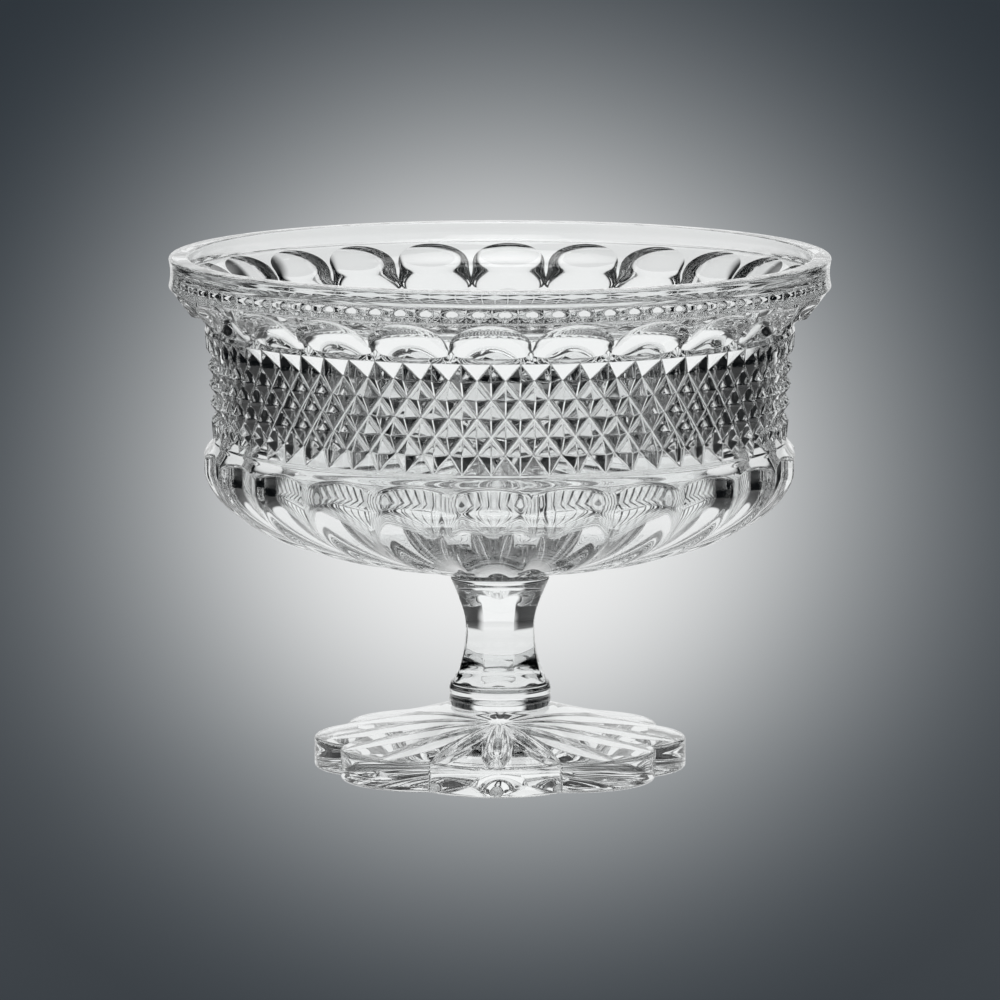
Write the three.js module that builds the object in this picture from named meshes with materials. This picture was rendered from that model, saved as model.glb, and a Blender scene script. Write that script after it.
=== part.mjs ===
// Footed crystal bowl: a fluted, diamond-cut bowl on an octagonal stem and an eight-petalled foot.
// Millimetres, +Z up, origin on the axis at the resting face, front towards -Y.
import * as THREE from "three";

// Counts round the axis
const THUMBPRINTS = 24;
const FLUTES = 24;
const DIAMONDS = 64;
const DIAMOND_ROWS = 5;
const STEM_FACETS = 8;
const PETALS = 8;

// Foot
const FOOT_TIP_RADIUS = 56.5;
const PETAL_RADIUS = 25.3;
const FOOT_EDGE_HEIGHT = 9.4;
const FOOT_HEIGHT = 18.8;
const FOOT_PAD_RADIUS = 16.4;
const RAY_START_RADIUS = 9;
const RAY_END_GAP = 7;
const RAY_HALF_WIDTH = 2;
const RAY_TIP_HALF_WIDTH = 0.15;
const RAY_DEPTH = 1.2;
const FOOT_SAG = 0.75;

// Clear films that join the three pieces
const BOND_THICKNESS = 0.3;
const BOND_SETBACK = 0.6;

// Stem
const STEM_HEIGHT = 39.7;
const COLLAR_RADIUS = 15.6;
const COLLAR_HEIGHT = 7;
const COLLAR_BULGE = 0.9;
const SHAFT_RADIUS = 14.5;
const STEM_WAIST = 10.45;
const STEM_WAIST_HEIGHT = 24;
const STEM_TOP_RADIUS = 15;
const STEM_TOP_BEVEL = 0.8;
const FACET_END_DROP = 4.6;
const FACET_FADE = 2.2;
const FACET_CORNER = 1.065;

// Bowl heights, from the bowl's own base
const BOWL_HEIGHT = 97.5;
const RIM_FACE_HEIGHT = 9.6;
const THUMB_HEIGHT = 12;
const THUMB_CUSP_DROP = 3.1;
const THUMB_CUSP_RISE = 1.5;
const THUMB_SAG = 0.12;
const DIAMOND_BORDER = 0.7;
const DIAMOND_HEIGHT = 11.04;
const SHOULDER_HEIGHT = 3.1;
const SHOULDER_CURVE_HEIGHT = 4.8;
const FLUTE_ARCH_DROP = 4;
const FLUTE_END_HEIGHT = 1.5;
const BELLY_TURN_HEIGHT = 3;
const UNDERSIDE_PAD_RISE = 3.6;
const UNDERSIDE_BELLY_RISE = 6.6;
const PAD_HEIGHT = 1;
const PAD_FILLET = 0.9;

// Bowl radii and thicknesses
const RIM_RADIUS = 100;
const LIP_WIDTH = 5.9;
const LIP_ROUND = 0.9;
const LIP_INNER_HEIGHT = 5;
const LIP_SLOPE_HEIGHT = 9.5;
const WAIST_RADIUS = 89.5;
const DIAMOND_TOP_RADIUS = 89.2;
const DIAMOND_BOTTOM_RADIUS = 86.9;
const DIAMOND_RELIEF = 3.7;
const BELLY_RADIUS = 89.7;
const BELLY_TURN_DEPTH = 0.5;
const FLUTE_DEPTH = 3;
const FLUTE_POWER = 3;
const FLUTE_RIDGE_ROUND = 0.25;
const PAD_RADIUS = 15.1;
const WALL_THICKNESS = 6;
const FLOOR_THICKNESS = 10.1;
const DISH_HEIGHT = 27;
const DISH_RISE = 1;
const DISH_BEND = 0.3;

// Levels that follow from the sizes above
const STEM_BASE = FOOT_HEIGHT + BOND_THICKNESS;
const STEM_TOP = STEM_BASE + STEM_HEIGHT;
const BOWL_BASE = STEM_TOP + BOND_THICKNESS;
const BOWL_TOP = BOWL_BASE + BOWL_HEIGHT;
const THUMB_TOP = BOWL_TOP - RIM_FACE_HEIGHT;
const THUMB_BASE = THUMB_TOP - THUMB_HEIGHT;
const DIAMOND_TOP = THUMB_BASE - DIAMOND_BORDER;
const DIAMOND_BASE = DIAMOND_TOP - ((DIAMOND_ROWS + 1) * DIAMOND_HEIGHT) / 2;
const FLUTE_TOP = DIAMOND_BASE - SHOULDER_HEIGHT;

const crystal = new THREE.MeshStandardMaterial({ color: 0xeef1f2, roughness: 0.05, metalness: 0 });
const bond = new THREE.MeshStandardMaterial({ color: 0xf4f4ef, roughness: 0.2, metalness: 0 });
crystal.name = "crystal";
bond.name = "bond";

// A point at a radius, an angle from the front meridian and a height
function polar(radius, angle, z) {
  return new THREE.Vector3(radius * Math.sin(angle), -radius * Math.cos(angle), z);
}

// A ring of points; place(angle, index) gives each one
function ring(count, place) {
  return Array.from({ length: count }, (_, i) => place((2 * Math.PI * i) / count, i));
}

function circle(count, radius, z) {
  return ring(count, (angle) => polar(radius, angle, z));
}

// How far a column lies from the middle of its repeat: 0 in the middle, 1 on the line between two repeats
function offCentre(index, columnsPerRepeat) {
  const place = index % columnsPerRepeat;
  return (2 * Math.min(place, columnsPerRepeat - place)) / columnsPerRepeat;
}

// Triangles between two rings, which may have different counts; a ring of one point is a pole.
// fold(i) is true where a square is split from its first lower to its second upper corner.
function strip(lower, upper, fold) {
  const faces = [];
  const n = lower.length;
  const m = upper.length;
  let i = 0;
  let j = 0;
  while (i < (n > 1 ? n : 0) || j < (m > 1 ? m : 0)) {
    const level = (i + 1) / n - (j + 1) / m;
    const lowerFirst = Math.abs(level) < 1e-9 ? !(fold && fold(i)) : level < 0;
    if (m === 1 || (n > 1 && i < n && (j === m || lowerFirst))) {
      faces.push(lower[i % n], lower[(i + 1) % n], upper[j % m]);
      i += 1;
    } else {
      faces.push(lower[i % n], upper[(j + 1) % m], upper[j % m]);
      j += 1;
    }
  }
  return faces;
}

// One closed body from rings in order: from the pole below, up the outside, to the pole above or inside
function stack(name, material, rings, folds = new Map()) {
  const corners = [];
  for (let k = 0; k + 1 < rings.length; k += 1) {
    corners.push(...strip(rings[k], rings[k + 1], folds.get(k)));
  }
  const geometry = new THREE.BufferGeometry().setFromPoints(corners);
  geometry.computeVertexNormals();
  const mesh = new THREE.Mesh(geometry, material);
  mesh.name = name;
  return mesh;
}

// Foot: petal outline, low domed top, and leaf-shaped rays cut into the flat underside
const PETAL_CENTRE = FOOT_TIP_RADIUS - PETAL_RADIUS;
const NOTCH_ANGLE = Math.PI / PETALS;

function petalRadius(angle) {
  const pitch = 2 * NOTCH_ANGLE;
  const local = angle - pitch * Math.round(angle / pitch);
  const across = PETAL_CENTRE * Math.sin(local);
  return PETAL_CENTRE * Math.cos(local) + Math.sqrt(PETAL_RADIUS ** 2 - across ** 2);
}

const RAYS = 2 * PETALS;
const FOOT_COLUMNS = 4 * RAYS;
const NOTCH_RADIUS = petalRadius(NOTCH_ANGLE);

// A ring across the rays at a share of their length: middle, one edge, the land between, the other edge
function rayRing(share) {
  const spread = Math.sin(Math.PI * share);
  const radius = RAY_START_RADIUS + share * (NOTCH_RADIUS - RAY_END_GAP - RAY_START_RADIUS);
  const edgeAngle = (RAY_TIP_HALF_WIDTH + (RAY_HALF_WIDTH - RAY_TIP_HALF_WIDTH) * spread) / radius;
  return ring(FOOT_COLUMNS, (angle, i) => {
    const side = [0, 1, 0, -1][i % 4];
    if (i % 2 === 1) {
      return polar(radius, (2 * Math.PI * (i - side)) / FOOT_COLUMNS + side * edgeAngle, 0);
    }
    return polar(radius, angle, i % 4 === 0 ? RAY_DEPTH * spread : 0);
  });
}

function footRing(share) {
  const curve = new THREE.QuadraticBezierCurve(
    new THREE.Vector2(1, FOOT_EDGE_HEIGHT),
    new THREE.Vector2(0.5, (FOOT_EDGE_HEIGHT + FOOT_HEIGHT) / 2 - FOOT_SAG),
    new THREE.Vector2(0, FOOT_HEIGHT),
  );
  const point = curve.getPoint(share);
  return ring(FOOT_COLUMNS, (angle) => {
    const radius = FOOT_PAD_RADIUS + point.x * (petalRadius(angle) - FOOT_PAD_RADIUS);
    return polar(radius, angle, point.y);
  });
}

const foot = stack("foot", crystal, [
  [polar(0, 0, 0)],
  ...[0, 0.2, 0.5, 0.8, 1].map(rayRing),
  ring(FOOT_COLUMNS, (angle) => polar(petalRadius(angle), angle, 0)),
  ...[0, 0.25, 0.5, 0.75, 1].map(footRing),
  [polar(0, 0, FOOT_HEIGHT)],
]);

// Stem: octagonal shaft whose facets die out in a round flare above and over a round bead below
const STEM_COLUMNS = 4 * STEM_FACETS;
const SHAFT_BASE = STEM_BASE + COLLAR_HEIGHT;
const WAIST_Z = STEM_BASE + STEM_WAIST_HEIGHT;
const FACET_END = STEM_TOP - FACET_END_DROP;

function collarRing(share) {
  const radius = COLLAR_RADIUS - COLLAR_BULGE * (2 * share - 1) ** 2;
  return circle(STEM_COLUMNS, radius, STEM_BASE + share * COLLAR_HEIGHT);
}

// How round the shaft is at a height: 0 where its facets are whole, 1 where they have run out
function roundness(z) {
  const past = Math.max(z - FACET_END, SHAFT_BASE - z);
  return THREE.MathUtils.clamp(1 + past / FACET_FADE, 0, 1);
}

// A section of the shaft: flats, with the corners between them cut back to a round body
function shaftRing(halfWidth, z) {
  const pitch = (2 * Math.PI) / STEM_FACETS;
  const flat = halfWidth * (1 + roundness(z) * (1 / Math.cos(pitch / 2) - 1));
  const body = halfWidth * (FACET_CORNER + roundness(z) * (1 - FACET_CORNER));
  return ring(STEM_COLUMNS, (angle) => {
    const local = angle - pitch * Math.round(angle / pitch);
    return polar(Math.min(body, flat / Math.cos(local)), angle, z);
  });
}

const lowerShaft = new THREE.CubicBezierCurve(
  new THREE.Vector2(SHAFT_RADIUS, SHAFT_BASE),
  new THREE.Vector2((SHAFT_RADIUS + STEM_WAIST) / 2, (3 * SHAFT_BASE + WAIST_Z) / 4),
  new THREE.Vector2(STEM_WAIST, (SHAFT_BASE + WAIST_Z) / 2),
  new THREE.Vector2(STEM_WAIST, WAIST_Z),
);
const upperShaft = new THREE.CubicBezierCurve(
  new THREE.Vector2(STEM_WAIST, WAIST_Z),
  new THREE.Vector2(STEM_WAIST, (2 * WAIST_Z + STEM_TOP) / 3),
  new THREE.Vector2((STEM_WAIST + STEM_TOP_RADIUS) / 2, (2 * WAIST_Z + 3 * STEM_TOP) / 5),
  new THREE.Vector2(STEM_TOP_RADIUS, STEM_TOP - STEM_TOP_BEVEL),
);

const stem = stack("stem", crystal, [
  [polar(0, 0, STEM_BASE)],
  ...[0, 0.25, 0.5, 0.75, 1].map(collarRing),
  ...lowerShaft.getPoints(7).map((p) => shaftRing(p.x, p.y)),
  ...upperShaft.getPoints(9).slice(1).map((p) => shaftRing(p.x, p.y)),
  circle(STEM_COLUMNS, STEM_TOP_RADIUS - STEM_TOP_BEVEL, STEM_TOP),
  [polar(0, 0, STEM_TOP)],
]);

// Bowl, outside: flutes from the pad to round arches under the shoulder
const FLUTE_COLUMNS = 6;
const BELLY_Z = FLUTE_TOP - FLUTE_ARCH_DROP - FLUTE_END_HEIGHT;
const UNDERSIDE_Z = BOWL_BASE + PAD_HEIGHT;
const ridge = new THREE.CubicBezierCurve(
  new THREE.Vector2(PAD_RADIUS + PAD_FILLET, UNDERSIDE_Z),
  new THREE.Vector2((3 * PAD_RADIUS + BELLY_RADIUS) / 4, UNDERSIDE_Z + UNDERSIDE_PAD_RISE),
  new THREE.Vector2((PAD_RADIUS + 7 * BELLY_RADIUS) / 8, UNDERSIDE_Z + UNDERSIDE_BELLY_RISE),
  new THREE.Vector2(BELLY_RADIUS - BELLY_TURN_DEPTH, BELLY_Z - BELLY_TURN_HEIGHT),
);

function archZ(top, drop, off) {
  return top - drop * (1 - Math.sqrt(Math.max(0, 1 - off ** 2)));
}

// An offset from a flute's middle whose last stretch bends over, which rounds the ridge between two flutes
function bentOver(off) {
  return off - Math.max(0, off - 1 + FLUTE_RIDGE_ROUND) ** 2 / (2 * FLUTE_RIDGE_ROUND);
}

function fluteHollow(off) {
  return FLUTE_DEPTH * (1 - (bentOver(off) / bentOver(1)) ** FLUTE_POWER);
}

// The hollow of a flute is deepest in its middle and shrinks with the radius towards the pad
function fluteRing(share) {
  const point = ridge.getPoint(share);
  const tangent = ridge.getTangent(share);
  return ring(FLUTE_COLUMNS * FLUTES, (angle, i) => {
    const depth = fluteHollow(offCentre(i, FLUTE_COLUMNS)) * (point.x / BELLY_RADIUS);
    return polar(point.x - depth * tangent.y, angle, point.y + depth * tangent.x);
  });
}

// The smooth step of the shoulder, from the belly in to the band of diamonds
function shoulderRadius(z) {
  const share = THREE.MathUtils.clamp(1 - (DIAMOND_BASE - z) / SHOULDER_CURVE_HEIGHT, 0, 1);
  return BELLY_RADIUS - ((BELLY_RADIUS - DIAMOND_BOTTOM_RADIUS) * (1 - Math.cos(Math.PI * share))) / 2;
}

// The end of a flute, from its upright part at share 0 out to the shoulder on the arch at share 1
function fluteEndRing(share) {
  return ring(FLUTE_COLUMNS * FLUTES, (angle, i) => {
    const off = offCentre(i, FLUTE_COLUMNS);
    const top = archZ(FLUTE_TOP, FLUTE_ARCH_DROP, off);
    const edge = shoulderRadius(top);
    const depth = (edge - BELLY_RADIUS + fluteHollow(off)) * Math.sqrt(1 - share ** 2);
    return polar(edge - depth, angle, top - (1 - share) * FLUTE_END_HEIGHT);
  });
}

// The plain shoulder between the arches, share 0, and the band of diamonds, share 1
function shoulderRing(share) {
  return ring(FLUTE_COLUMNS * FLUTES, (angle, i) => {
    const low = archZ(FLUTE_TOP, FLUTE_ARCH_DROP, offCentre(i, FLUTE_COLUMNS));
    const z = low + share * (DIAMOND_BASE - low);
    return polar(shoulderRadius(z), angle, z);
  });
}

// Bowl, outside: staggered pyramids; tips and groove crossings alternate along each ring
const HALF_ROWS = DIAMOND_ROWS + 1;
const DIAMOND_COLUMNS = 2 * DIAMONDS;

function isTip(column, level) {
  return (column + level) % 2 === 1;
}

function diamondRing(level) {
  const share = level / HALF_ROWS;
  const tip = DIAMOND_BOTTOM_RADIUS + share * (DIAMOND_TOP_RADIUS - DIAMOND_BOTTOM_RADIUS);
  const border = level === 0 || level === HALF_ROWS;
  return ring(DIAMOND_COLUMNS, (angle, i) => {
    const radius = border || isTip(i, level) ? tip : tip - DIAMOND_RELIEF;
    return polar(radius, angle, DIAMOND_BASE + share * (DIAMOND_TOP - DIAMOND_BASE));
  });
}

// Bowl, outside: thumbprints, each a hollow slope from the rim's face in and down to the waist
const THUMB_COLUMNS = 6;

function thumbRing(share) {
  return ring(THUMB_COLUMNS * THUMBPRINTS, (angle, i) => {
    const off = offCentre(i, THUMB_COLUMNS);
    const edge = new THREE.Vector2(RIM_RADIUS, archZ(THUMB_TOP, THUMB_CUSP_DROP, off));
    const base = new THREE.Vector2(WAIST_RADIUS, archZ(THUMB_BASE, -THUMB_CUSP_RISE, off));
    const corner = new THREE.Vector2(WAIST_RADIUS, edge.y);
    const handle = edge.clone().lerp(base, 0.5).lerp(corner, THUMB_SAG * (1 - off ** 2));
    const point = new THREE.QuadraticBezierCurve(edge, handle, base).getPoint(share);
    return polar(point.x, angle, point.y);
  });
}

// Bowl, rim and inside
const RIM_COLUMNS = 72;
const LIP_RADIUS = RIM_RADIUS - LIP_WIDTH;
const WALL_TOP = BOWL_TOP - LIP_INNER_HEIGHT - LIP_SLOPE_HEIGHT;
const INNER_TOP = DIAMOND_TOP_RADIUS - WALL_THICKNESS;
const INNER_BASE = DIAMOND_BOTTOM_RADIUS - WALL_THICKNESS;
const FLOOR_Z = BOWL_BASE + FLOOR_THICKNESS;
const dish = new THREE.CubicBezierCurve(
  new THREE.Vector2(INNER_BASE, FLOOR_Z + DISH_HEIGHT),
  new THREE.Vector2(INNER_BASE, FLOOR_Z + DISH_BEND * DISH_HEIGHT),
  new THREE.Vector2(INNER_BASE * (1 - DISH_BEND), FLOOR_Z + DISH_RISE),
  new THREE.Vector2(0, FLOOR_Z),
);

function lipCorner(centreRadius, from) {
  const centre = BOWL_TOP - LIP_ROUND;
  return [0, 0.5, 1].map((share) => {
    const turn = from + (share * Math.PI) / 2;
    const radius = centreRadius + LIP_ROUND * Math.cos(turn);
    return circle(RIM_COLUMNS, radius, centre + LIP_ROUND * Math.sin(turn));
  });
}

const fluteRings = [0, 0.16, 0.33, 0.5, 0.66, 0.83, 1].map(fluteRing);
const fluteEndRings = [0, 0.5, 0.85, 1].map(fluteEndRing);
const diamondRings = Array.from({ length: HALF_ROWS + 1 }, (_, level) => diamondRing(level));
const bowlRings = [
  [polar(0, 0, BOWL_BASE)],
  circle(FLUTE_COLUMNS * FLUTES, PAD_RADIUS, BOWL_BASE),
  ...fluteRings,
  ...fluteEndRings,
  shoulderRing(0.5),
  ...diamondRings,
  ...[1, 0.75, 0.5, 0.25, 0].map(thumbRing),
  ...lipCorner(RIM_RADIUS - LIP_ROUND, 0),
  ...lipCorner(LIP_RADIUS + LIP_ROUND, Math.PI / 2),
  circle(RIM_COLUMNS, LIP_RADIUS, BOWL_TOP - LIP_INNER_HEIGHT),
  circle(RIM_COLUMNS, INNER_TOP, WALL_TOP),
  ...dish.getPoints(9).slice(0, -1).map((p) => circle(RIM_COLUMNS, p.x, p.y)),
  [polar(0, 0, FLOOR_Z)],
];

// Each diamond square folds along its groove, which joins its two crossings
const folds = new Map();
const firstDiamond = bowlRings.indexOf(diamondRings[0]);
for (let level = 0; level < HALF_ROWS; level += 1) {
  folds.set(firstDiamond + level, (i) => !isTip(i, level));
}
const bowl = stack("bowl", crystal, bowlRings, folds);

// Bond films between the flat faces of foot, stem and bowl
const FILM_COLUMNS = 48;

function bondFilm(name, radius, z) {
  const geometry = new THREE.CylinderGeometry(radius, radius, BOND_THICKNESS, FILM_COLUMNS);
  geometry.rotateX(Math.PI / 2);
  geometry.translate(0, 0, z + BOND_THICKNESS / 2);
  const mesh = new THREE.Mesh(geometry, bond);
  mesh.name = name;
  return mesh;
}

const lowerBond = bondFilm("lower_bond", COLLAR_RADIUS - COLLAR_BULGE - BOND_SETBACK, FOOT_HEIGHT);
const upperBond = bondFilm("upper_bond", STEM_TOP_RADIUS - STEM_TOP_BEVEL - BOND_SETBACK, STEM_TOP);

const part = new THREE.Group();
part.name = "footed_crystal_bowl";
part.add(foot, lowerBond, stem, upperBond, bowl);

export default part;
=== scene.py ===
import math

import bpy
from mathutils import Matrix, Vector
from mathutils.geometry import interpolate_bezier


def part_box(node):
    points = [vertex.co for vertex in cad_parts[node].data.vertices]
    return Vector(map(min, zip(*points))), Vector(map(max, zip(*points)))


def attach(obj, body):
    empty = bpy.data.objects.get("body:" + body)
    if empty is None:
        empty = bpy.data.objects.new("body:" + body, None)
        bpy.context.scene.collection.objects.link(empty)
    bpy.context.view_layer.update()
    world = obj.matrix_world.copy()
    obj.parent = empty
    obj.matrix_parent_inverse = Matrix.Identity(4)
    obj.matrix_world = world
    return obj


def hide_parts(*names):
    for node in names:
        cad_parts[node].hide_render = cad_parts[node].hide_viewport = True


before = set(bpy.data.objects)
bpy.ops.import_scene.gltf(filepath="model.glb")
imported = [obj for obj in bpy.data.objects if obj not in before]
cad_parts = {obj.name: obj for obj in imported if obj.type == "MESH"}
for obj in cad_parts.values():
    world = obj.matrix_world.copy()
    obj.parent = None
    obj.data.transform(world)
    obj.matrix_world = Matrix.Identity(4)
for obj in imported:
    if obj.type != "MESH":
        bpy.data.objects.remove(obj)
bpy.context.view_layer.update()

# Foot
# The thick base of the bowl, one pressing of clear crystal with eight round petals. Its low sloping top is
# fire-polished, and leaf-shaped rays are cut into the flat underside, where they show through from above.
MM = 0.001
FOOT_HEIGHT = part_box("foot")[1][2] / MM
FOOT_TIP_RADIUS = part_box("foot")[1][0] / MM
FOOT_PETALS = 8
FOOT_PETAL_RADIUS = 25.3
FOOT_PETAL_CENTRE = FOOT_TIP_RADIUS - FOOT_PETAL_RADIUS
FOOT_EDGE_HEIGHT = 9.4
FOOT_EDGE_ROUND = 1.0
FOOT_PAD_RADIUS = 16.4
FOOT_SAG = 0.75
FOOT_PETAL_FADE = 3
FOOT_COLUMNS = FOOT_PETALS * 80
FOOT_EDGE_STEPS = 5
FOOT_TOP_STEPS = 24
RAY_COUNT = 2 * FOOT_PETALS
RAY_START = 2.5
RAY_END_GAP = 2.5
RAY_HALF_WIDTH = 4.2
RAY_DEPTH = 2.2
RAY_STEPS = 40
FOOT_RIPPLE = 14
CRYSTAL_RIPPLE_HEIGHT = 0.02
CRYSTAL_IOR = 1.54
CRYSTAL_ROUGHNESS = 0.02
CRYSTAL_COLOURS = ["#FAFCFC", "#FFFFFF"]
CRYSTAL_SHADOW = "#F0F2F2"


def linear(hex_colour):
    """An sRGB hex colour as linear RGBA."""
    parts = [int(hex_colour[i:i + 2], 16) / 255 for i in (1, 3, 5)]
    return tuple(c / 12.92 if c <= 0.04045 else ((c + 0.055) / 1.055) ** 2.4 for c in parts) + (1,)


def add_node(shading, kind, settings, links=()):
    """Adds a shader node to a material or world. Sets its attributes, and its inputs by name or number, and
    links each (from node, output, input)."""
    new = shading.node_tree.nodes.new(kind)
    for name, value in settings.items():
        if isinstance(name, int) or name in new.inputs:
            new.inputs[name].default_value = value
        else:
            setattr(new, name, value)
    for source, output, name in links:
        shading.node_tree.links.new(source.outputs[output], new.inputs[name])
    return new


def crystal(name, ripple_mm, ripple_height_mm):
    """Fire-polished pressed crystal: clear and colourless, bright at its edges, with the faint long ripple
    that the plunger and the flame leave, and almost a mirror polish. It lets most of the light through to
    the floor, so that its shadow is pale."""
    material = bpy.data.materials.new(name)
    material.use_nodes = True
    material.node_tree.nodes.clear()
    place = add_node(material, "ShaderNodeTexCoord", {})
    ripple = add_node(
        material, "ShaderNodeTexNoise", {"Scale": 1 / (ripple_mm * MM), "Detail": 1.0, "Roughness": 0.4},
        [(place, "Object", "Vector")])
    bump = add_node(
        material, "ShaderNodeBump", {"Strength": 1.0, "Distance": ripple_height_mm * MM},
        [(ripple, "Fac", "Height")])
    clarity = add_node(material, "ShaderNodeValToRGB", {}, [(ripple, "Fac", "Fac")])
    for stop, colour in zip(clarity.color_ramp.elements, CRYSTAL_COLOURS):
        stop.color = linear(colour)
    polish = add_node(
        material, "ShaderNodeMapRange", {"To Min": 0.0, "To Max": CRYSTAL_ROUGHNESS},
        [(ripple, "Fac", "Value")])
    shader = add_node(
        material, "ShaderNodeBsdfPrincipled",
        {"IOR": CRYSTAL_IOR, "Transmission Weight": 1.0, "Metallic": 0.0},
        [(clarity, "Color", "Base Color"), (polish, "Result", "Roughness"), (bump, "Normal", "Normal")])
    ray_kind = add_node(material, "ShaderNodeLightPath", {})
    passed_light = add_node(material, "ShaderNodeBsdfTransparent", {"Color": linear(CRYSTAL_SHADOW)})
    surface = add_node(
        material, "ShaderNodeMixShader", {},
        [(ray_kind, "Is Shadow Ray", 0), (shader, "BSDF", 1), (passed_light, "BSDF", 2)])
    add_node(material, "ShaderNodeOutputMaterial", {}, [(surface, "Shader", "Surface")])
    return material


def polar(radius, angle, z):
    """A point at a radius, an angle from the front meridian and a height."""
    return (radius * math.sin(angle), -radius * math.cos(angle), z)


def ring(count, place):
    """A closed ring of points, each given by place(angle)."""
    return [place(2 * math.pi * i / count) for i in range(count)]


def circle(count, radius, z):
    return ring(count, lambda angle: polar(radius, angle, z))


def repeat_offset(angle, repeats):
    """Where an angle lies in its repeat of a pattern: 0 in the middle, -1 and 1 on the lines between."""
    turns = angle * repeats / (2 * math.pi)
    return 2 * (turns - round(turns))


def join_rings(lower, upper, fold=None):
    """Faces between two rings of vertex numbers, whose counts may differ; a ring of one number is a pole.
    Where fold is given, squares are cut in two, from first lower to second upper corner if fold(i)."""
    n, m = len(lower), len(upper)
    if n == 1:
        return [(lower[0], upper[(j + 1) % m], upper[j]) for j in range(m)]
    if m == 1:
        return [(lower[i], lower[(i + 1) % n], upper[0]) for i in range(n)]
    faces = []
    if n == m:
        for i in range(n):
            a, b, c, d = lower[i], lower[(i + 1) % n], upper[(i + 1) % n], upper[i]
            if fold is None:
                faces.append((a, b, c, d))
            elif fold(i):
                faces += [(a, b, c), (a, c, d)]
            else:
                faces += [(a, b, d), (b, c, d)]
        return faces
    i = j = 0
    while i < n or j < m:
        if j == m or (i < n and (i + 1) * m <= (j + 1) * n):
            faces.append((lower[i], lower[(i + 1) % n], upper[j % m]))
            i += 1
        else:
            faces.append((lower[i % n], upper[(j + 1) % m], upper[j]))
            j += 1
    return faces


def turned_body(name, rings, material, folds=None):
    """One closed smooth body from rings in millimetres, in order from the pole below, up the outside, to
    the pole above or inside."""
    points = []
    numbers = []
    for one in rings:
        numbers.append(range(len(points), len(points) + len(one)))
        points += one
    faces = []
    for k in range(len(rings) - 1):
        faces += join_rings(numbers[k], numbers[k + 1], (folds or {}).get(k))
    mesh = bpy.data.meshes.new(name)
    mesh.from_pydata([Vector(p) * MM for p in points], [], faces)
    mesh.shade_smooth()
    mesh.materials.append(material)
    body = bpy.data.objects.new(name, mesh)
    bpy.context.scene.collection.objects.link(body)
    return body


def shares(count, start=0.0, end=1.0):
    """Evenly spread values from start to end, both included."""
    return [start + (end - start) * k / count for k in range(count + 1)]


def petal_radius(angle):
    """The foot's outline: round petals that meet in sharp notches."""
    local = repeat_offset(angle, FOOT_PETALS) * math.pi / FOOT_PETALS
    across = FOOT_PETAL_CENTRE * math.sin(local)
    return FOOT_PETAL_CENTRE * math.cos(local) + math.sqrt(FOOT_PETAL_RADIUS ** 2 - across ** 2)


def ray_ring(share):
    """A ring across the underside's rays, each a shallow round hollow, widest and deepest halfway along."""
    notch_radius = petal_radius(math.pi / FOOT_PETALS)
    radius = RAY_START + share * (notch_radius - RAY_END_GAP - RAY_START)
    spread = math.sin(math.pi * share)

    def place(angle):
        across = abs(repeat_offset(angle, RAY_COUNT)) * math.pi / RAY_COUNT * radius
        depth = RAY_DEPTH * max(0.0, spread - across ** 2 / RAY_HALF_WIDTH ** 2)
        return polar(radius, angle, depth)

    return ring(FOOT_COLUMNS, place)


def foot_edge_ring(inset, z):
    return ring(FOOT_COLUMNS, lambda angle: polar(petal_radius(angle) - inset, angle, z))


def foot_top_ring(share):
    """The slightly hollow slope from the petals' edge, share 0, to the pad under the stem, share 1. The
    petals fade out quickly on the way in, and most of the slope is a plain cone."""
    plain = (FOOT_TIP_RADIUS + petal_radius(math.pi / FOOT_PETALS)) / 2
    middle = (FOOT_EDGE_HEIGHT + FOOT_HEIGHT) / 2 - FOOT_SAG
    z = (1 - share) ** 2 * FOOT_EDGE_HEIGHT + 2 * share * (1 - share) * middle + share ** 2 * FOOT_HEIGHT

    def place(angle):
        edge = plain + (petal_radius(angle) - plain) * (1 - share) ** FOOT_PETAL_FADE - FOOT_EDGE_ROUND
        return polar(edge + share * (FOOT_PAD_RADIUS - edge), angle, z)

    return ring(FOOT_COLUMNS, place)


def edge_round(turns, rising):
    """Insets and heights of a rounded edge of the foot, from its outer side inwards or the other way."""
    arc = [(FOOT_EDGE_ROUND * (1 - math.cos(t)), FOOT_EDGE_ROUND * (1 - math.sin(t))) for t in turns]
    return [(inset, FOOT_EDGE_HEIGHT - drop) if rising else (inset, drop) for inset, drop in arc]


foot_rings = [[polar(0, 0, 0)]]
foot_rings += [ray_ring(share) for share in shares(RAY_STEPS)]
for inset, z in edge_round(shares(FOOT_EDGE_STEPS, math.pi / 2, 0), rising=False):
    foot_rings.append(foot_edge_ring(inset, z))
for inset, z in edge_round(shares(FOOT_EDGE_STEPS, 0, math.pi / 2), rising=True):
    foot_rings.append(foot_edge_ring(inset, z))
foot_rings += [foot_top_ring(share) for share in shares(FOOT_TOP_STEPS)[1:]]
foot_rings.append([polar(0, 0, FOOT_HEIGHT)])
foot_glass = crystal("fire-polished crystal, foot", FOOT_RIPPLE, CRYSTAL_RIPPLE_HEIGHT)
foot = turned_body("crystal_foot", foot_rings, foot_glass)
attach(foot, "root")
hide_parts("foot")

# Lower bond
# A thin clear film of cured adhesive between the foot's pad and the stem's collar. It is squeezed flat as
# the two are pressed together, and its rim draws in to a fine meniscus.
BOND_LAP = 0.05
BOND_COLUMNS = 160
BOND_RIPPLE = 5
BOND_RIPPLE_HEIGHT = 0.005
MENISCUS = 0.25
MENISCUS_STEPS = 6


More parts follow.
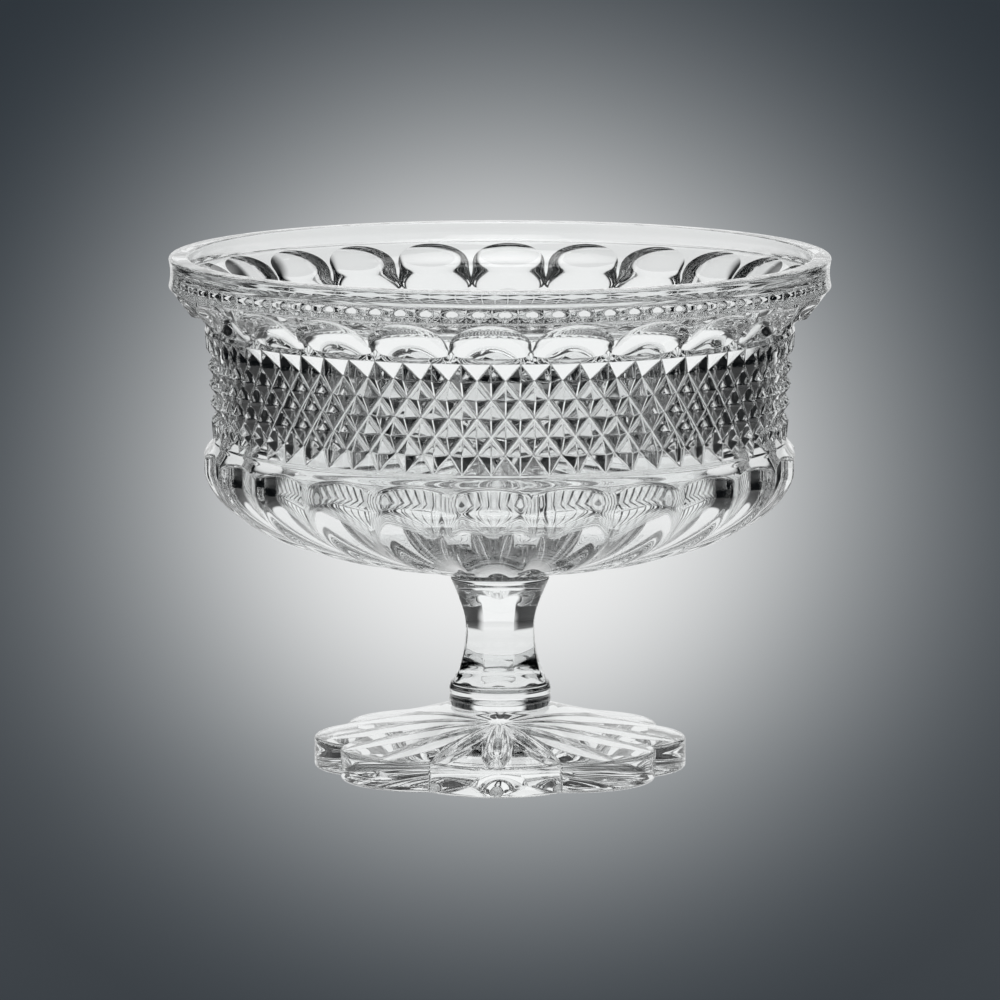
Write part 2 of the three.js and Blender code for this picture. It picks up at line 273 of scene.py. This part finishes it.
def bond_film(name, node, material):
    """A flat film that laps a hair into the glass on both sides, so that no air shows between them."""
    low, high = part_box(node)
    radius = high[0] / MM
    base = low[2] / MM - BOND_LAP
    top = high[2] / MM + BOND_LAP
    rings = [[polar(0, 0, base)]]
    for share in shares(MENISCUS_STEPS):
        inset = MENISCUS * math.sin(math.pi * share)
        rings.append(circle(BOND_COLUMNS, radius - inset, base + share * (top - base)))
    rings.append([polar(0, 0, top)])
    film = turned_body(name, rings, material)
    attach(film, "root")
    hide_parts(node)


# Glass adhesive is made as clear as crystal and to bend light as much, so that the joint hardly shows.
bond_glue = crystal("clear cured adhesive, squeezed film", BOND_RIPPLE, BOND_RIPPLE_HEIGHT)
bond_film("lower_bond_film", "lower_bond", bond_glue)

# Stem
# The waisted stem, pressed from clear crystal. Eight slightly full facets run up it and die out in a round
# flare under the bowl, and below in a round shaft that stands on a collar of two low beads.
STEM_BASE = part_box("stem")[0][2] / MM
STEM_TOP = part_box("stem")[1][2] / MM
STEM_FACETS = 8
STEM_COLLAR_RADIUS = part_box("stem")[1][0] / MM
STEM_COLLAR_HEIGHT = 7.0
STEM_COLLAR_BULGE = 0.6
STEM_COLLAR_BEADS = 2
STEM_BEAD_DEPTH = 0.2
STEM_SHAFT_RADIUS = 14.5
STEM_WAIST = 10.45
STEM_WAIST_HEIGHT = 24.0
STEM_TOP_RADIUS = 15.0
STEM_EDGE_ROUND = 0.8
STEM_FACET_END_DROP = 4.6
STEM_FACET_FADE = 2.2
STEM_FACET_FLATNESS = 0.65
STEM_COLUMNS = STEM_FACETS * 24
STEM_COLLAR_STEPS = 32
STEM_LOWER_STEPS = 28
STEM_UPPER_STEPS = 36
STEM_EDGE_STEPS = 4
STEM_RIPPLE = 12
shaft_base = STEM_BASE + STEM_COLLAR_HEIGHT
waist_z = STEM_BASE + STEM_WAIST_HEIGHT
facet_end = STEM_TOP - STEM_FACET_END_DROP


def curve_points(count, *handles):
    """Points along a cubic curve from four handles, each a radius and a height."""
    return [(p.x, p.y) for p in interpolate_bezier(*(Vector(h) for h in handles), count + 1)]


def stem_ring(half_width, z):
    """The section at a height: eight faces that fire-polishing has left a little full, with soft corners.
    They run out towards both ends, where the section is round."""
    past_end = max(z - facet_end, shaft_base - z)
    facet = STEM_FACET_FLATNESS * min(1.0, max(0.0, -past_end / STEM_FACET_FADE))

    def place(angle):
        local = repeat_offset(angle, STEM_FACETS) * math.pi / STEM_FACETS
        return polar(half_width * (1 + facet * (1 / math.cos(local) - 1)), angle, z)

    return ring(STEM_COLUMNS, place)


lower_shaft = curve_points(
    STEM_LOWER_STEPS,
    (STEM_SHAFT_RADIUS, shaft_base),
    ((STEM_SHAFT_RADIUS + STEM_WAIST) / 2, shaft_base + (waist_z - shaft_base) / 4),
    (STEM_WAIST, (shaft_base + waist_z) / 2),
    (STEM_WAIST, waist_z),
)
upper_shaft = curve_points(
    STEM_UPPER_STEPS,
    (STEM_WAIST, waist_z),
    (STEM_WAIST, waist_z + (STEM_TOP - waist_z) / 3),
    ((STEM_WAIST + STEM_TOP_RADIUS) / 2, waist_z + (STEM_TOP - waist_z) * 3 / 5),
    (STEM_TOP_RADIUS, STEM_TOP - STEM_EDGE_ROUND),
)
stem_rings = [[polar(0, 0, STEM_BASE)]]
for share in shares(STEM_COLLAR_STEPS):
    bead = STEM_BEAD_DEPTH * math.sin(math.pi * STEM_COLLAR_BEADS * share) ** 2
    whole = (STEM_COLLAR_BULGE - STEM_BEAD_DEPTH) * (1 - (2 * share - 1) ** 2)
    radius = STEM_COLLAR_RADIUS - STEM_COLLAR_BULGE + whole + bead
    stem_rings.append(circle(STEM_COLUMNS, radius, STEM_BASE + share * STEM_COLLAR_HEIGHT))
stem_rings += [stem_ring(r, z) for r, z in lower_shaft]
stem_rings += [stem_ring(r, z) for r, z in upper_shaft[1:]]
for turn in shares(STEM_EDGE_STEPS, 0, math.pi / 2)[1:]:
    inset = STEM_EDGE_ROUND * (1 - math.cos(turn))
    z = STEM_TOP - STEM_EDGE_ROUND * (1 - math.sin(turn))
    stem_rings.append(circle(STEM_COLUMNS, STEM_TOP_RADIUS - inset, z))
stem_rings.append([polar(0, 0, STEM_TOP)])
stem_glass = crystal("fire-polished crystal, stem", STEM_RIPPLE, CRYSTAL_RIPPLE_HEIGHT)
stem = turned_body("crystal_stem", stem_rings, stem_glass)
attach(stem, "root")
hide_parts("stem")

# Upper bond
# The same clear adhesive film, between the flared top of the stem and the pad under the bowl.
# It is squeezed as thin as the lower one.
bond_film("upper_bond_film", "upper_bond", bond_glue)

# Bowl
# The bowl is one heavy pressing of clear crystal. A plain lip stands over a row of arched thumbprints, a
# band of sharp staggered diamonds and deep flutes that run down to the stem. The inside is smooth and
# fire-polished.
BOWL_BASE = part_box("bowl")[0][2] / MM
BOWL_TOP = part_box("bowl")[1][2] / MM
RIM_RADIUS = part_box("bowl")[1][0] / MM
LIP_WIDTH = 5.9
LIP_ROUND = 0.9
LIP_INNER_HEIGHT = 5.0
LIP_CORNER_STEPS = 6
LIP_SLOPE_HEIGHT = 9.5
LIP_SLOPE_INSET = 4.0
LIP_SLOPE_DROP = 3.0
LIP_SLOPE_EASE = 4.0
LIP_SLOPE_STEPS = 16
RIM_FACE_HEIGHT = 9.6
RIM_FACE_HOLLOW = 0.5
RIM_FACE_STEPS = 12
RIM_EDGE_STEPS = 5

THUMB_COUNT = 24
THUMB_HEIGHT = 12.0
THUMB_TOP = BOWL_TOP - RIM_FACE_HEIGHT
THUMB_BASE = THUMB_TOP - THUMB_HEIGHT
THUMB_EDGE_GAP = 0.3
THUMB_CUSP_DROP = 8.0
THUMB_CUSP_RISE = 2.6
THUMB_CUSP_INSET = 6.0
THUMB_EDGE_ROUND = 0.7
THUMB_SAG = 0.7
THUMB_COLUMNS = THUMB_COUNT * 36
THUMB_STEPS = 30
SPANDREL_STEPS = 6
RIM_COLUMNS = THUMB_COUNT * 18
WAIST_RADIUS = 88.7

DIAMOND_COUNT = 64
DIAMOND_HALF_ROWS = 6
DIAMOND_HALF_HEIGHT = 5.52
DIAMOND_BORDER = 0.7
DIAMOND_TOP = THUMB_BASE - DIAMOND_BORDER
DIAMOND_BASE = DIAMOND_TOP - DIAMOND_HALF_ROWS * DIAMOND_HALF_HEIGHT
DIAMOND_TOP_RADIUS = 89.2
DIAMOND_BOTTOM_RADIUS = 86.9
DIAMOND_RELIEF = 3.7
DIAMOND_GROOVE_ROUND = 0.2
DIAMOND_STEPS = 10
DIAMOND_EDGE_EASE = 0.064

SHOULDER_HEIGHT = 3.1
SHOULDER_CURVE_HEIGHT = 4.8
SHOULDER_STEPS = 14
FLUTE_COUNT = 24
FLUTE_TOP = DIAMOND_BASE - SHOULDER_HEIGHT
FLUTE_ARCH_DROP = 4.0
FLUTE_END_HEIGHT = 1.5
FLUTE_DEPTH = 2.8
FLUTE_RIDGE_ROUND = 0.25
FLUTE_COLUMNS = FLUTE_COUNT * 40
FLUTE_END_STEPS = 10
BELLY_RADIUS = 89.7
BELLY_Z = FLUTE_TOP - FLUTE_ARCH_DROP - FLUTE_END_HEIGHT
BELLY_TURN_HEIGHT = 3.0
BELLY_TURN_DEPTH = 0.5
BELLY_TURN_STEPS = 8
PAD_RADIUS = 15.1
PAD_FILLET = 0.9
PAD_HEIGHT = 1.0
UNDERSIDE_Z = BOWL_BASE + PAD_HEIGHT
UNDERSIDE_PAD_RISE = 3.6
UNDERSIDE_BELLY_RISE = 6.6
UNDERSIDE_STEPS = 60

WALL_THICKNESS = 6.0
WALL_STEPS = 12
FLOOR_THICKNESS = 10.1
DISH_HEIGHT = 22.0
DISH_RISE = 1.0
DISH_BEND = 0.45
DISH_STEPS = 48
BOWL_RIPPLE = 18


def arch(offset):
    """How far an arch has dropped at an offset from its middle: 0 in the middle, 1 at its ends."""
    return 1 - math.sqrt(max(0.0, 1 - offset ** 2))


ridge = [Vector(p) for p in curve_points(
    UNDERSIDE_STEPS,
    (PAD_RADIUS + PAD_FILLET, UNDERSIDE_Z),
    ((3 * PAD_RADIUS + BELLY_RADIUS) / 4, UNDERSIDE_Z + UNDERSIDE_PAD_RISE),
    ((PAD_RADIUS + 7 * BELLY_RADIUS) / 8, UNDERSIDE_Z + UNDERSIDE_BELLY_RISE),
    (BELLY_RADIUS - BELLY_TURN_DEPTH, BELLY_Z - BELLY_TURN_HEIGHT),
)]
ridge += [Vector(p) for p in curve_points(
    BELLY_TURN_STEPS,
    (BELLY_RADIUS - BELLY_TURN_DEPTH, BELLY_Z - BELLY_TURN_HEIGHT),
    (BELLY_RADIUS - BELLY_TURN_DEPTH / 4, BELLY_Z - 3 * BELLY_TURN_HEIGHT / 4),
    (BELLY_RADIUS, BELLY_Z - BELLY_TURN_HEIGHT / 3),
    (BELLY_RADIUS, BELLY_Z),
)[1:]]


def rounded(value, share):
    """A value from 0 to 1 whose last share bends over, so that slopes that meet at 1 meet in a round."""
    return value - max(0.0, value - 1 + share) ** 2 / (2 * share)


def flute_hollow(angle):
    """Depth of the flutes at an angle round the belly: even round hollows with rounded ridges between."""
    offset = rounded(abs(repeat_offset(angle, FLUTE_COUNT)), FLUTE_RIDGE_ROUND)
    return FLUTE_DEPTH * (1 - (offset / rounded(1.0, FLUTE_RIDGE_ROUND)) ** 2)


def flute_ring(k):
    """A ring across the flutes, whose hollows shrink with the radius towards the pad."""
    point = ridge[k]
    tangent = (ridge[min(k + 1, len(ridge) - 1)] - ridge[max(k - 1, 0)]).normalized()

    def place(angle):
        hollow = flute_hollow(angle) * point.x / BELLY_RADIUS
        return polar(point.x - hollow * tangent.y, angle, point.y + hollow * tangent.x)

    return ring(FLUTE_COLUMNS, place)


def shoulder_radius(z):
    """The smooth step from the belly in to the band of diamonds."""
    share = min(1.0, max(0.0, 1 - (DIAMOND_BASE - z) / SHOULDER_CURVE_HEIGHT))
    return BELLY_RADIUS - (BELLY_RADIUS - DIAMOND_BOTTOM_RADIUS) * (1 - math.cos(math.pi * share)) / 2


def arch_z(angle):
    return FLUTE_TOP - FLUTE_ARCH_DROP * arch(repeat_offset(angle, FLUTE_COUNT))


def flute_end_ring(share):
    """The upright end of the flutes, which rounds out to the shoulder on the arch at share 1."""

    def place(angle):
        top = arch_z(angle)
        edge = shoulder_radius(top)
        bottom = BELLY_RADIUS - flute_hollow(angle)
        radius = edge - (edge - bottom) * math.sqrt(1 - share ** 2)
        return polar(radius, angle, top - (1 - share) * FLUTE_END_HEIGHT)

    return ring(FLUTE_COLUMNS, place)


def shoulder_ring(share):
    """The plain shoulder between the arches, share 0, and the diamonds, share 1."""

    def place(angle):
        low = arch_z(angle)
        z = low + share * (DIAMOND_BASE - low)
        return polar(shoulder_radius(z), angle, z)

    return ring(FLUTE_COLUMNS, place)


def from_even(value):
    """Distance to the nearest even whole number, from 0 to 1."""
    return abs(value - 2 * round(value / 2))


def diamond_depth(column, level):
    """How deep the cut is, from 0 on a tip to 1 in a groove; columns and levels count half diamonds.
    Along both borders the tips run out in upright edges to the plain wall."""
    if level <= 1 or level >= DIAMOND_HALF_ROWS - 1:
        return min(from_even(column), level, DIAMOND_HALF_ROWS - level)
    return rounded(max(from_even(column + 1 + level), from_even(column + 1 - level)), DIAMOND_GROOVE_ROUND)


def eased(k):
    """Grid place of step k inside half a diamond, closer set near the edges so that they stay crisp."""
    whole, part = divmod(k, DIAMOND_STEPS)
    share = part / DIAMOND_STEPS
    return whole + share - DIAMOND_EDGE_EASE * math.sin(2 * math.pi * share)


def diamond_ring(step):
    """A ring across the diamonds, whose tips lean in towards the belly."""
    level = eased(step)
    share = level / DIAMOND_HALF_ROWS
    tip = DIAMOND_BOTTOM_RADIUS + share * (DIAMOND_TOP_RADIUS - DIAMOND_BOTTOM_RADIUS)
    z = DIAMOND_BASE + share * (DIAMOND_TOP - DIAMOND_BASE)
    points = []
    for k in range(2 * DIAMOND_COUNT * DIAMOND_STEPS):
        column = eased(k)
        radius = tip - DIAMOND_RELIEF * diamond_depth(column, level)
        points.append(polar(radius, math.pi * column / DIAMOND_COUNT, z))
    return points


def diamond_fold(step):
    """Each square of the diamond grid is cut along the groove that crosses its half diamond."""
    level = step // DIAMOND_STEPS
    return lambda k: (k // DIAMOND_STEPS + level) % 2 == 0


def thumb_edge(angle):
    """Radius and height of the arched upper edge of the thumbprints, cut into the slope under the lip."""
    drop = arch(repeat_offset(angle, THUMB_COUNT))
    radius = RIM_RADIUS - THUMB_EDGE_ROUND - THUMB_CUSP_INSET * drop
    return radius, THUMB_TOP - THUMB_EDGE_GAP - THUMB_CUSP_DROP * drop


def thumb_ring(share):
    """The hollow of the thumbprints, from their arched edge, share 0, in and down to the wall, share 1. It
    is straight along the ridges between thumbprints and sags towards the lip in the middle of each."""

    def place(angle):
        offset = repeat_offset(angle, THUMB_COUNT)
        edge_radius, edge_z = thumb_edge(angle)
        base_z = THUMB_BASE + THUMB_CUSP_RISE * arch(offset)
        sag = THUMB_SAG * (1 - offset ** 2)
        handle_radius = (edge_radius + WAIST_RADIUS) / 2 - sag * (edge_radius - WAIST_RADIUS) / 2
        handle_z = (edge_z + base_z) / 2 + sag * (edge_z - base_z) / 2
        near, middle, far = (1 - share) ** 2, 2 * share * (1 - share), share ** 2
        radius = near * edge_radius + middle * handle_radius + far * WAIST_RADIUS
        return polar(radius, angle, near * edge_z + middle * handle_z + far * base_z)

    return ring(THUMB_COLUMNS, place)


def spandrel_ring(share):
    """The slope that is left between the arches, share 0, and the lower edge of the lip, share 1."""

    def place(angle):
        radius, z = thumb_edge(angle)
        radius += share * (RIM_RADIUS - THUMB_EDGE_ROUND - radius)
        return polar(radius, angle, z + share * (THUMB_TOP - z))

    return ring(THUMB_COLUMNS, place)


def rim_face_ring(turn, share):
    """The rounded lower edge of the lip, by turn, and then its slightly hollow face, by share."""
    low = THUMB_TOP + THUMB_EDGE_ROUND * (1 - math.cos(turn))
    inset = THUMB_EDGE_ROUND * (1 - math.sin(turn)) + RIM_FACE_HOLLOW * math.sin(math.pi * share)
    return circle(THUMB_COLUMNS, RIM_RADIUS - inset, low + share * (BOWL_TOP - LIP_ROUND - low))


def lip_corner(centre_radius, start):
    """The rounded top edge of the lip: a quarter turn from start."""
    corner = []
    for turn in shares(LIP_CORNER_STEPS, start, start + math.pi / 2):
        z = BOWL_TOP - LIP_ROUND + LIP_ROUND * math.sin(turn)
        corner.append(circle(RIM_COLUMNS, centre_radius + LIP_ROUND * math.cos(turn), z))
    return corner


lip_radius = RIM_RADIUS - LIP_WIDTH
wall_top = BOWL_TOP - LIP_INNER_HEIGHT - LIP_SLOPE_HEIGHT
inner_top = DIAMOND_TOP_RADIUS - WALL_THICKNESS
inner_base = DIAMOND_BOTTOM_RADIUS - WALL_THICKNESS
floor_z = BOWL_BASE + FLOOR_THICKNESS
lip_slope = curve_points(
    LIP_SLOPE_STEPS,
    (lip_radius, BOWL_TOP - LIP_INNER_HEIGHT),
    (lip_radius - LIP_SLOPE_INSET, BOWL_TOP - LIP_INNER_HEIGHT - LIP_SLOPE_DROP),
    (inner_top, wall_top + LIP_SLOPE_EASE),
    (inner_top, wall_top),
)
dish = curve_points(
    DISH_STEPS,
    (inner_base, floor_z + DISH_HEIGHT),
    (inner_base, floor_z + DISH_BEND * DISH_HEIGHT),
    (inner_base * (1 - DISH_BEND), floor_z + DISH_RISE),
    (0, floor_z),
)

bowl_rings = [[polar(0, 0, BOWL_BASE)], circle(FLUTE_COLUMNS, PAD_RADIUS, BOWL_BASE)]
bowl_rings += [flute_ring(k) for k in range(len(ridge))]
bowl_rings += [flute_end_ring(math.sin(turn)) for turn in shares(FLUTE_END_STEPS, 0, math.pi / 2)]
bowl_rings += [shoulder_ring(share) for share in shares(SHOULDER_STEPS)[1:-1]]
first_diamond = len(bowl_rings)
diamond_steps = DIAMOND_HALF_ROWS * DIAMOND_STEPS
bowl_rings += [diamond_ring(step) for step in range(diamond_steps + 1)]
bowl_rings += [thumb_ring(share) for share in shares(THUMB_STEPS, 1, 0)]
bowl_rings += [spandrel_ring(share) for share in shares(SPANDREL_STEPS)[1:]]
bowl_rings += [rim_face_ring(turn, 0) for turn in shares(RIM_EDGE_STEPS, 0, math.pi / 2)[1:]]
bowl_rings += [rim_face_ring(math.pi / 2, share) for share in shares(RIM_FACE_STEPS)[1:-1]]
bowl_rings += lip_corner(RIM_RADIUS - LIP_ROUND, 0)
bowl_rings += lip_corner(lip_radius + LIP_ROUND, math.pi / 2)
bowl_rings += [circle(RIM_COLUMNS, r, z) for r, z in lip_slope]
for share in shares(WALL_STEPS)[1:-1]:
    radius = inner_top + share * (inner_base - inner_top)
    bowl_rings.append(circle(RIM_COLUMNS, radius, wall_top + share * (floor_z + DISH_HEIGHT - wall_top)))
bowl_rings += [circle(RIM_COLUMNS, r, z) for r, z in dish[:-1]]
bowl_rings.append([polar(0, 0, floor_z)])
diamond_folds = {first_diamond + step: diamond_fold(step) for step in range(diamond_steps)}
bowl_glass = crystal("fire-polished crystal, bowl", BOWL_RIPPLE, CRYSTAL_RIPPLE_HEIGHT)
bowl = turned_body("crystal_bowl", bowl_rings, bowl_glass, diamond_folds)
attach(bowl, "root")
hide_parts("bowl")

# Studio
# Matt paper under an overhead and a front softbox. The camera sees on it a painted pool of light, which the
# paper's shader emits: pale behind the object and falling off to painted slate shade. Glass sees a glowing
# oval behind the object, in the world's light and also painted on the floor, and a painted glowing disc on
# the floor under the object. All round there is darkness: the world's dim light, and painted darkness on
# the floor. So the glass shows light in its middle and dark lines along its edges. The camera stands where
# the photograph's stood. Sizes are in metres.
FLOOR_SIZE = 16.0
FLOOR_GAP = 0.0002
FLOOR_COLOUR = "#DCDDDD"
FLOOR_ROUGHNESS = 0.9
# Colours of the painted pool of light on the floor, from white in its middle to painted slate shade at its
# edges.
PAINTED_POOL_COLOURS = ["#FFFFFF", "#F3F4F4", "#94989B", "#454C52", "#2A3138"]
POOL_CENTRE = 0.63
POOL_WIDTH = 0.13
POOL_LENGTH = 0.9
POOL_SPREAD = 0.33
POOL_FADE = 2.0
# Shares of the paper's colour that are painted light, for camera rays and for glass rays. The rest is the
# paper lit by the softboxes, with the object's shadow.
POOL_SHARE = 0.92
POOL_SHARE_GLASS = 0.85
# Glow and darkness of the world's light, which are also the painted glow and painted darkness that glass
# sees on the floor.
GLOW_COLOUR = "#F8F9F9"
DARK_COLOUR = "#06080A"
GLOW_WIDTH = math.sin(math.radians(27))
GLOW_HEIGHT = math.sin(math.radians(30))
GLOW_LIFT = math.sin(math.radians(5))
GLOW_CORE = 0.75
# Radius of the painted glowing disc on the floor under the object, which glass sees.
PAINTED_DISC_RADIUS = 0.28
SOFTBOX_SPREAD = math.radians(60)
CAMERA_AZIMUTH = math.radians(1.7)
CAMERA_PITCH = math.radians(8.153)
CAMERA_DISTANCE = 2.2392
CAMERA_HEIGHT = 0.4025
CAMERA_FOCAL_PIXELS = 7456
CAMERA_REACH = 100.0
PICTURE_PIXELS = 1000
SENSOR_WIDTH = 36.0
GLASS_BOUNCES = 24
GLOSS_BOUNCES = 12


def add_glow(shading, place, output, lift):
    """A glowing oval as a share from 0 to 1: an oval of bearings behind the object, faded all round. In the
    world it is light; on the floor it is painted light.
    """
    bearing = add_node(shading, "ShaderNodeVectorMath", {"operation": "NORMALIZE"}, [(place, output, 0)])
    patch = add_node(
        shading, "ShaderNodeMapping",
        {"Scale": (1 / GLOW_WIDTH, 0, 1 / GLOW_HEIGHT), "Location": (0, 0, -lift / GLOW_HEIGHT)},
        [(bearing, "Vector", "Vector")])
    off_centre = add_node(shading, "ShaderNodeVectorMath", {"operation": "LENGTH"}, [(patch, "Vector", 0)])
    fade = add_node(
        shading, "ShaderNodeMapRange",
        {"interpolation_type": "SMOOTHSTEP", "From Min": 1.0, "From Max": GLOW_CORE},
        [(off_centre, "Value", "Value")])
    axes = add_node(shading, "ShaderNodeSeparateXYZ", {}, [(bearing, "Vector", 0)])
    behind = add_node(shading, "ShaderNodeMath", {"operation": "GREATER_THAN", 1: 0.0}, [(axes, "Y", 0)])
    return add_node(
        shading, "ShaderNodeMath", {"operation": "MULTIPLY"}, [(fade, "Result", 0), (behind, "Value", 1)])


floor_mesh = bpy.data.meshes.new("studio_floor")
half = FLOOR_SIZE / 2
floor_corners = [(-half, -half), (half, -half), (half, half), (-half, half)]
floor_mesh.from_pydata([(x, y, -FLOOR_GAP) for x, y in floor_corners], [], [(0, 1, 2, 3)])
floor = bpy.data.objects.new("studio_floor", floor_mesh)
bpy.context.scene.collection.objects.link(floor)
floor_paper = bpy.data.materials.new("matt studio paper with painted light")
floor_paper.use_nodes = True
paper = floor_paper.node_tree.nodes["Principled BSDF"]
paper.inputs["Base Color"].default_value = linear(FLOOR_COLOUR)
paper.inputs["Roughness"].default_value = FLOOR_ROUGHNESS
floor_place = add_node(floor_paper, "ShaderNodeNewGeometry", {})
# The painted pool of light: an oval of emitted colour on the floor behind the object, which widens with
# distance.
pool_place = add_node(
    floor_paper, "ShaderNodeMapping",
    {"vector_type": "TEXTURE", "Rotation": (0, 0, CAMERA_AZIMUTH), "Scale": (POOL_WIDTH, POOL_LENGTH, 1),
     "Location": (-POOL_CENTRE * math.sin(CAMERA_AZIMUTH), POOL_CENTRE * math.cos(CAMERA_AZIMUTH), 0)},
    [(floor_place, "Position", "Vector")])
pool_axes = add_node(floor_paper, "ShaderNodeSeparateXYZ", {}, [(pool_place, "Vector", 0)])
pool_spread = add_node(
    floor_paper, "ShaderNodeMath", {"operation": "MULTIPLY_ADD", 1: POOL_SPREAD * POOL_FADE, 2: POOL_FADE},
    [(pool_axes, "Y", 0)])
pool_distance = add_node(
    floor_paper, "ShaderNodeVectorMath", {"operation": "LENGTH"}, [(pool_place, "Vector", 0)])
pool_share = add_node(
    floor_paper, "ShaderNodeMath", {"operation": "DIVIDE"},
    [(pool_distance, "Value", 0), (pool_spread, "Value", 1)])
painted_pool_ramp = add_node(floor_paper, "ShaderNodeValToRGB", {}, [(pool_share, "Value", "Fac")])
painted_pool_ramp.color_ramp.interpolation = "B_SPLINE"
pool_stops = painted_pool_ramp.color_ramp.elements
pool_stops[0].color = linear(PAINTED_POOL_COLOURS[0])
pool_stops[1].color = linear(PAINTED_POOL_COLOURS[-1])
for k, colour in enumerate(PAINTED_POOL_COLOURS[1:-1], 1):
    pool_stops.new(k / (len(PAINTED_POOL_COLOURS) - 1)).color = linear(colour)
ray_kind = add_node(floor_paper, "ShaderNodeLightPath", {})
glass_ray = add_node(
    floor_paper, "ShaderNodeMath", {"operation": "MAXIMUM"},
    [(ray_kind, "Is Glossy Ray", 0), (ray_kind, "Is Transmission Ray", 1)])
# What glass sees on the floor: a painted glowing oval behind the object and a painted glowing disc under
# it, with painted darkness elsewhere.
painted_floor_glow = add_glow(floor_paper, floor_place, "Position", 0)
floor_distance = add_node(
    floor_paper, "ShaderNodeVectorMath", {"operation": "LENGTH"}, [(floor_place, "Position", 0)])
painted_floor_disc = add_node(
    floor_paper, "ShaderNodeMapRange",
    {"interpolation_type": "SMOOTHSTEP", "From Min": PAINTED_DISC_RADIUS, "From Max": PAINTED_DISC_RADIUS * GLOW_CORE},
    [(floor_distance, "Value", "Value")])
field = add_node(
    floor_paper, "ShaderNodeMath", {"operation": "MAXIMUM"},
    [(painted_floor_glow, "Value", 0), (painted_floor_disc, "Result", 1)])
painted_field_ramp = add_node(floor_paper, "ShaderNodeValToRGB", {}, [(field, "Value", "Fac")])
pool_and_field = add_node(
    floor_paper, "ShaderNodeMix", {"data_type": "RGBA"},
    [(glass_ray, "Value", 0), (painted_pool_ramp, "Color", 6), (painted_field_ramp, "Color", 7)])
# The paper emits this painted light: the pool for camera rays, and the glowing oval and disc for glass
# rays.
painted_floor_light = add_node(floor_paper, "ShaderNodeEmission", {}, [(pool_and_field, 2, "Color")])
glass_share = add_node(
    floor_paper, "ShaderNodeMath", {"operation": "MULTIPLY", 1: POOL_SHARE_GLASS},
    [(glass_ray, "Value", 0)])
seen_share = add_node(
    floor_paper, "ShaderNodeMath", {"operation": "MULTIPLY_ADD", 1: POOL_SHARE},
    [(ray_kind, "Is Camera Ray", 0), (glass_share, "Value", 2)])
floor_mix = add_node(
    floor_paper, "ShaderNodeMixShader", {},
    [(seen_share, "Value", 0), (paper, "BSDF", 1), (painted_floor_light, "Emission", 2)])
floor_paper.node_tree.links.new(
    floor_mix.outputs["Shader"], floor_paper.node_tree.nodes["Material Output"].inputs["Surface"])
floor_mesh.materials.append(floor_paper)


def softbox(name, place, aim, width, length, power):
    """A rectangular softbox with a grid that narrows its light: at a place, facing a point."""
    lamp = bpy.data.lights.new(name, "AREA")
    lamp.shape = "RECTANGLE"
    lamp.size = width
    lamp.size_y = length
    lamp.energy = power
    lamp.spread = SOFTBOX_SPREAD
    box = bpy.data.objects.new(name, lamp)
    box.location = place
    box.rotation_euler = (Vector(aim) - Vector(place)).to_track_quat("-Z", "Y").to_euler()
    box.visible_camera = False
    box.visible_transmission = False
    bpy.context.scene.collection.objects.link(box)


softbox("overhead_softbox", place=(0, 0.1, 1.3), aim=(0, 0.1, 0), width=0.9, length=0.9, power=1.2)
softbox("front_softbox", place=(0, -0.8, 1.2), aim=(0, 0.1, 0), width=0.9, length=0.6, power=0.5)

world = bpy.data.worlds.new("dark studio with a lit backdrop")
world.use_nodes = True
sky_place = add_node(world, "ShaderNodeTexCoord", {})
sky_glow = add_glow(world, sky_place, "Generated", GLOW_LIFT)
sky_ramp = add_node(world, "ShaderNodeValToRGB", {}, [(sky_glow, "Value", "Fac")])
# Both ramps run from dark to glow. In the world this is light; on the floor it is painted light and painted
# darkness.
for ramp in (painted_field_ramp, sky_ramp):
    ramp.color_ramp.elements[0].color = linear(DARK_COLOUR)
    ramp.color_ramp.elements[1].color = linear(GLOW_COLOUR)
world.node_tree.links.new(sky_ramp.outputs["Color"], world.node_tree.nodes["Background"].inputs["Color"])
bpy.context.scene.world = world

camera_lens = bpy.data.cameras.new("photo_camera")
camera_lens.sensor_width = SENSOR_WIDTH
camera_lens.lens = CAMERA_FOCAL_PIXELS * SENSOR_WIDTH / PICTURE_PIXELS
camera_lens.clip_end = CAMERA_REACH
camera = bpy.data.objects.new("photo_camera", camera_lens)
camera.location = (
    CAMERA_DISTANCE * math.sin(CAMERA_AZIMUTH), -CAMERA_DISTANCE * math.cos(CAMERA_AZIMUTH), CAMERA_HEIGHT)
camera.rotation_euler = (math.pi / 2 - CAMERA_PITCH, 0, CAMERA_AZIMUTH)
bpy.context.scene.collection.objects.link(camera)
bpy.context.scene.camera = camera

bpy.context.scene.cycles.caustics_refractive = False
bpy.context.scene.cycles.max_bounces = GLASS_BOUNCES
bpy.context.scene.cycles.transmission_bounces = GLASS_BOUNCES
bpy.context.scene.cycles.glossy_bounces = GLOSS_BOUNCES
bpy.context.scene.view_settings.view_transform = "Standard"
